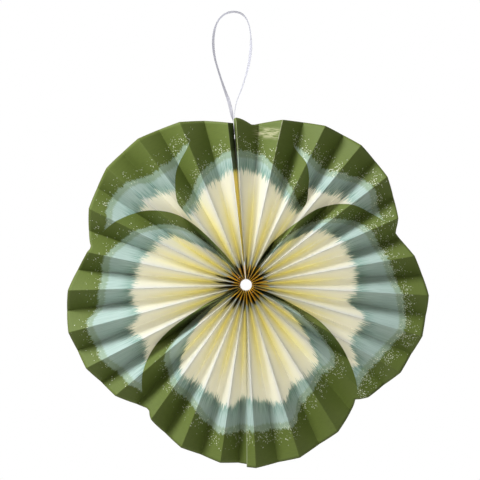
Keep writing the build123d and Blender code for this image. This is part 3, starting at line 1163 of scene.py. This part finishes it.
class PaperEdge(Finish):
    """Cut edge of the paper, pale with a little of the ink."""

    name = "cut_paper_edge"
    layer_scale = 420.0

    def build(self) -> bpy.types.Material:
        """Make the material."""
        x, _, z = self.graph.split(self.object_place())
        layers = self.graph.noise(self.graph.join(x, z, 0.0), self.layer_scale)
        colour = self.graph.blend(layers.rise(0.35, 0.65), ink(208, 202, 182, 0.92), ink(188, 180, 154, 0.92))
        return self.close(colour, 0.8)


class SatinWeave(Finish):
    """Pale silvery satin: fine threads along the ribbon and a firmer woven border."""

    name = "satin_ribbon"
    relief = 0.000003
    THREAD = 0.00014
    PICK = 0.0003
    BORDER = (0.00125, 0.00138)
    SATIN = ink(212, 212, 219, 0.92)
    DULL = ink(205, 205, 213, 0.92)
    DEEP = ink(200, 200, 210, 0.92)
    LIGHT_THROUGH = ink(220, 220, 226, 0.92)

    def ripples(self, place: Reading, pitch: float) -> Reading:
        """Waves from 0 to 1 along a place in metres."""
        return self.graph.math("SINE", place * (2 * math.pi / pitch)) * 0.5 + 0.5

    def build(self) -> bpy.types.Material:
        """Make the material."""
        graph = self.graph
        across, along, _ = self.carried("weave")
        threads, picks = self.ripples(across, self.THREAD), self.ripples(along, self.PICK)
        border = abs(across).rise(*self.BORDER)
        cloud = graph.noise(graph.join(across * 300.0, along * 40.0, 3.0), 1.0)
        colour = graph.blend(cloud.rise(0.35, 0.65), self.SATIN, self.DULL)
        colour = graph.blend(threads * 0.06 + border * 0.12, colour, self.DEEP)
        height = threads * (1.0 - border) + picks * border
        roughness = 0.36 + threads * 0.08 + border * 0.2
        return self.close(colour, roughness, height, self.glow(self.LIGHT_THROUGH), 0.6,
                          Sheen_Weight=0.25, Sheen_Roughness=0.3)


class CottonTwist(Finish):
    """Off-white twisted cotton thread."""

    name = "cotton_thread"
    relief = 0.00003
    fuzz_scale = 9000.0

    def build(self) -> bpy.types.Material:
        """Make the material."""
        fuzz = self.graph.noise(self.object_place(), self.fuzz_scale, 3.0)
        colour = self.graph.blend(fuzz.rise(0.35, 0.65), ink(226, 222, 208, 0.92), ink(206, 200, 184, 0.92))
        return self.close(colour, 0.85, fuzz, Sheen_Weight=0.2)


class FoamStrip(Finish):
    """White closed-cell foam of the double-sided tape."""

    name = "foam_tape"
    relief = 0.00008
    cell_scale = 3500.0

    def build(self) -> bpy.types.Material:
        """Make the material."""
        place = {"Vector": self.object_place(), "Scale": self.cell_scale}
        cells = self.graph.read("ShaderNodeTexVoronoi", place, output="Distance")
        colour = self.graph.blend(cells.rise(0.2, 0.7), ink(214, 212, 204, 0.92), ink(238, 237, 231, 0.95))
        return self.close(colour, 0.9, cells)


def white_surround(graph: Graph) -> Reading:
    """One where the camera, a reflection or a see-through part looks, and nought for light."""
    path = graph.add("ShaderNodeLightPath")
    seen = [Reading(graph, path.outputs[f"Is {kind} Ray"]) for kind in ("Camera", "Glossy", "Transmission")]
    return seen[0].most(*seen[1:])


class PaleFloor(Finish):
    """Pale matt floor that looks nearly as white as its surround and still shows a shadow."""

    name = "pale_floor"
    mottle_scale = 9.0

    def build(self) -> bpy.types.Material:
        """Make the material."""
        graph = self.graph
        x, y, _ = graph.split(self.object_place())
        mottle = graph.noise(graph.join(x, y, 0.0), self.mottle_scale, 3.0)
        colour = graph.blend(mottle.rise(0.3, 0.7), ink(240, 240, 238, 0.95), ink(234, 234, 232, 0.95))
        white = graph.read("ShaderNodeEmission", {"Color": PLAIN_WHITE, "Strength": 1.0})
        return self.close(colour, 0.85, glow=white, through=white_surround(graph) * 0.6)


@dataclass
class HangingRibbon:
    """The satin ribbon, doubled into a loop above the seam, with both ends held between the end panels.

    The twist is the turn of its width about its line, in degrees, at shares of its length.
    """

    width: float = 0.003
    thickness: float = 0.00016
    length: float = 0.234
    route: tuple[tuple[float, float, float], ...] = (
        (-0.0101, 0.0045, 0.1296),
        (-0.0117, 0.0045, 0.1505),
        (-0.0214, 0.0045, 0.1761),
        (-0.0292, 0.0045, 0.2029),
        (-0.0270, 0.0045, 0.2249),
        (-0.0174, 0.0045, 0.2355),
        (-0.0036, 0.0045, 0.2355),
        (0.0036, 0.0045, 0.2243),
        (0.0048, 0.0045, 0.2009),
        (-0.0014, 0.0045, 0.1743),
        (-0.0115, 0.0045, 0.1505),
        (-0.0099, 0.0045, 0.1296),
    )
    twist: tuple[tuple[float, float], ...] = (
        (0.0, 0.0), (0.045, 0.0), (0.085, -74.0), (0.13, -70.0), (0.17, -46.0), (0.22, -34.0), (0.28, -34.0),
        (0.34, -46.0), (0.38, -42.0), (0.43, -22.0), (0.46, -22.0), (0.495, -28.0), (0.53, -26.0),
        (0.57, -14.0), (0.62, -16.0), (0.67, -47.0), (0.73, -46.0), (0.79, -26.0), (0.86, -17.0),
        (0.93, -8.0), (1.0, 0.0))
    profile: tuple[float, ...] = (-0.5, -0.46, -0.25, 0.0, 0.25, 0.46, 0.5)
    edge_rounding: float = 0.35
    line_steps: int = 20

    def line(self) -> list[Vector]:
        """Points of the ribbon's smooth line, read from the route's NURBS spline."""
        curve = bpy.data.curves.new("ribbon_line", "CURVE")
        curve.dimensions = "3D"
        curve.resolution_u = self.line_steps
        spline = curve.splines.new("NURBS")
        spline.points.add(len(self.route) - 1)
        for point, place in zip(spline.points, self.route):
            point.co = (*place, 1.0)
        spline.order_u = 3
        spline.use_endpoint_u = True
        guide = add_object("ribbon_line", curve)
        mesh = bpy.data.meshes.new_from_object(guide)
        points = [vertex.co.copy() for vertex in mesh.vertices]
        bpy.data.objects.remove(guide)
        bpy.data.meshes.remove(mesh)
        bpy.data.curves.remove(curve)
        return points

    def turn_at(self, share: float) -> float:
        """Twist at a share of the length, in radians, eased between the chosen ones."""
        for (before, first), (after, second) in zip(self.twist, self.twist[1:]):
            if share <= after:
                part = (share - before) / (after - before)
                part = part * part * (3 - 2 * part)
                return math.radians(first + (second - first) * part)
        return math.radians(self.twist[-1][1])

    def woven_mesh(self, points: list[Vector], runs: list[float]) -> bpy.types.Mesh:
        """Lay the ribbon's outline along its line, ring after ring.

        Args:
            points: Points of the line.
            runs: Length of the line up to each point.

        Returns:
            The mesh, which carries the place across and along the ribbon.
        """
        ring = [(place, 1.0) for place in self.profile] + [(place, -1.0) for place in reversed(self.profile)]
        vertices: list[Vector] = []
        weave: list[float] = []
        depth = Vector((0.0, 1.0, 0.0))
        for index, (point, run) in enumerate(zip(points, runs)):
            ahead = (points[min(index + 1, len(points) - 1)] - points[max(index - 1, 0)]).normalized()
            turn = self.turn_at(run / runs[-1])
            wide = depth * math.cos(turn) + ahead.cross(depth) * math.sin(turn)
            thick = wide.cross(ahead)
            for place, side in ring:
                rounding = self.edge_rounding if abs(place) == 0.5 else 1.0
                half = side * rounding * self.thickness / 2
                vertices.append(point + wide * place * self.width + thick * half)
                weave += [place * self.width, run, 0.0]
        size = len(ring)
        faces = [tuple(reversed(range(size))), tuple(range(len(vertices) - size, len(vertices)))]
        for low in range(0, len(vertices) - size, size):
            for place in range(size):
                following = (place + 1) % size
                faces.append((low + place, low + following, low + size + following, low + size + place))
        mesh = bpy.data.meshes.new("satin_loop")
        mesh.from_pydata(vertices, [], faces)
        mesh.attributes.new("weave", "FLOAT_VECTOR", "POINT").data.foreach_set("vector", weave)
        mesh.polygons.foreach_set("use_smooth", [len(face) == 4 for face in faces])
        return mesh

    def build(self, finish: bpy.types.Material) -> bpy.types.Object:
        """Lay the ribbon along its line.

        Args:
            finish: Its material.

        Returns:
            The finished piece.
        """
        points = self.line()
        runs = [0.0]
        for before, after in zip(points, points[1:]):
            runs.append(runs[-1] + (after - before).length)
        mesh = self.woven_mesh(points, runs)
        mesh.materials.append(finish)
        mesh.update()
        ribbon = add_object("satin_loop", mesh)
        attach(ribbon, "root")
        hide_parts("hanging_ribbon")
        log.info("ribbon line %.4f m", runs[-1])
        return ribbon


@dataclass
class HubThread:
    """The thread that gathers the hub: three plies twisted round a ring."""

    ring_radius: float = 0.0085
    ply_radius: float = 0.00018
    ply_offset: float = 0.00017
    plies: int = 3
    ply_sides: int = 8
    twists: float = 26.0
    steps: int = 468

    def recipe(self, finish: bpy.types.Material) -> Recipe:
        """Write the tree that twists the plies.

        Args:
            finish: The thread's material.

        Returns:
            The tree with its named inputs.
        """
        recipe = Recipe("twisted_thread", {
            "Ring radius": self.ring_radius,
            "Ply radius": self.ply_radius,
            "Ply offset": self.ply_offset,
            "Twists": self.twists,
            "Steps": self.steps,
        })
        graph = recipe.graph
        steps, offset = recipe.value("Steps"), recipe.value("Ply offset")
        whole_turn = 2 * math.pi
        joined = graph.add("GeometryNodeJoinGeometry")
        for ply in range(self.plies):
            circle = self.circle(graph, steps, 1.0)
            turn = graph.read("GeometryNodeInputIndex") / steps * whole_turn
            twist = turn * recipe.value("Twists") + whole_turn * ply / self.plies
            out = recipe.value("Ring radius") + offset * graph.math("COSINE", twist)
            back = offset * graph.math("SINE", twist)
            place = graph.join(out * graph.math("SINE", turn), back, out * graph.math("COSINE", turn))
            circle = graph.read("GeometryNodeSetPosition", {"Geometry": circle, "Position": place})
            profile = self.circle(graph, self.ply_sides, recipe.value("Ply radius"))
            strand = graph.read("GeometryNodeCurveToMesh", {"Curve": circle, "Profile Curve": profile})
            graph.tree.links.new(strand.socket, joined.inputs[0])
        thread = graph.read("GeometryNodeRealizeInstances", {"Geometry": joined.outputs[0]})
        recipe.end(graph.read("GeometryNodeSetMaterial", {"Geometry": thread, "Material": finish}))
        return recipe

    def circle(self, graph: Graph, points: Number, radius: Number) -> Reading:
        """Curve of a circle round the origin."""
        inputs = {"Resolution": points, "Radius": radius}
        return graph.read("GeometryNodeCurvePrimitiveCircle", inputs, {"mode": "RADIUS"})

    def build(self, finish: bpy.types.Material) -> bpy.types.Object:
        """Twist the thread.

        Args:
            finish: Its material.

        Returns:
            The finished piece.
        """
        piece = add_object("twisted_hub_thread", bpy.data.meshes.new("twisted_hub_thread"))
        self.recipe(finish).bake(piece)
        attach(piece, "root")
        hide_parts("hub_thread")
        return piece


@dataclass(frozen=True)
class Lamp:
    """A round soft lamp that faces the fan, in metres and watts."""

    name: str
    place: Place
    size: float
    power: float
    colour: tuple[float, float, float]

    def build(self) -> None:
        """Hang the lamp."""
        lamp = bpy.data.lights.new(self.name, "AREA")
        lamp.shape = "DISK"
        lamp.size = self.size
        lamp.energy = self.power
        lamp.color = self.colour
        light = add_object(self.name, lamp)
        light.location = self.place
        light.rotation_euler = (-Vector(self.place)).to_track_quat("-Z", "Y").to_euler()


@dataclass
class Studio:
    """Pale floor, a lamp at the upper left, one behind the fan that shines through it, and a camera."""

    view_width: float = 0.4128
    camera_distance: float = 1.15
    centre: tuple[float, float] = (-0.0052, 0.0385)
    sensor: float = 36.0
    floor_height: float = -0.7
    floor_size: float = 2.4
    lamps: tuple[Lamp, ...] = (
        Lamp("key_light", (-0.75, -0.52, 0.79), 0.45, 18.2, (0.94, 0.97, 1.0)),
        Lamp("back_light", (0.2, 1.7, 0.2), 1.2, 49.0, (1.0, 0.975, 0.9)),
    )
    ambient: float = 0.22

    def build(self) -> None:
        """Set up the stage, the light and the camera."""
        self.make_floor()
        for lamp in self.lamps:
            lamp.build()
        self.make_world()
        self.make_camera()
        bpy.context.scene.view_settings.view_transform = "Standard"

    def make_floor(self) -> None:
        """Pale matt floor, well below the hanging fan."""
        half = self.floor_size / 2
        mesh = bpy.data.meshes.new("floor")
        corners = [(x * half, y * half, self.floor_height) for x, y in ((-1, -1), (1, -1), (1, 1), (-1, 1))]
        mesh.from_pydata(corners, [], [(0, 1, 2, 3)])
        floor = add_object("floor", mesh)
        mesh.materials.append(PaleFloor().build())

    def make_world(self) -> None:
        """Even light from all round, which the camera sees as white."""
        world = bpy.data.worlds.new("studio")
        bpy.context.scene.world = world
        world.use_nodes = True
        graph = Graph(world.node_tree)
        even, white = (graph.read("ShaderNodeBackground", {"Color": PLAIN_WHITE, "Strength": strength})
                       for strength in (self.ambient, 1.0))
        mixed = graph.read("ShaderNodeMixShader", {0: white_surround(graph), 1: even, 2: white})
        graph.add("ShaderNodeOutputWorld", {"Surface": mixed})

    def make_camera(self) -> None:
        """Long lens square to the front, with the photograph's framing."""
        lens = bpy.data.cameras.new("camera")
        lens.sensor_width = self.sensor
        lens.lens = self.sensor * self.camera_distance / self.view_width
        camera = add_object("camera", lens)
        camera.location = (self.centre[0], -self.camera_distance, self.centre[1])
        camera.rotation_euler = (math.pi / 2, 0.0, 0.0)
        bpy.context.scene.camera = camera


def main() -> None:
    """Build and dress every piece, and report each one."""
    logging.basicConfig(level=logging.INFO, format="%(message)s")
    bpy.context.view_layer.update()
    finishes = {
        PaperFace.FRONT: PrintedFront().build(),
        PaperFace.EDGE: PaperEdge().build(),
        PaperFace.BACK: PlainBack().build(),
    }
    pieces = PrintedFan().build(finishes)
    pieces.append(HangingRibbon().build(SatinWeave().build()))
    pieces.append(HubThread().build(CottonTwist().build()))
    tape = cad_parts["seam_tape"]
    tape.data.materials.clear()
    tape.data.materials.append(FoamStrip().build())
    for piece in pieces:
        piece.data.calc_loop_triangles()
        log.info("%s: %d triangles", piece.name, len(piece.data.loop_triangles))
    Studio().build()


if __name__ == "__main__":
    main()
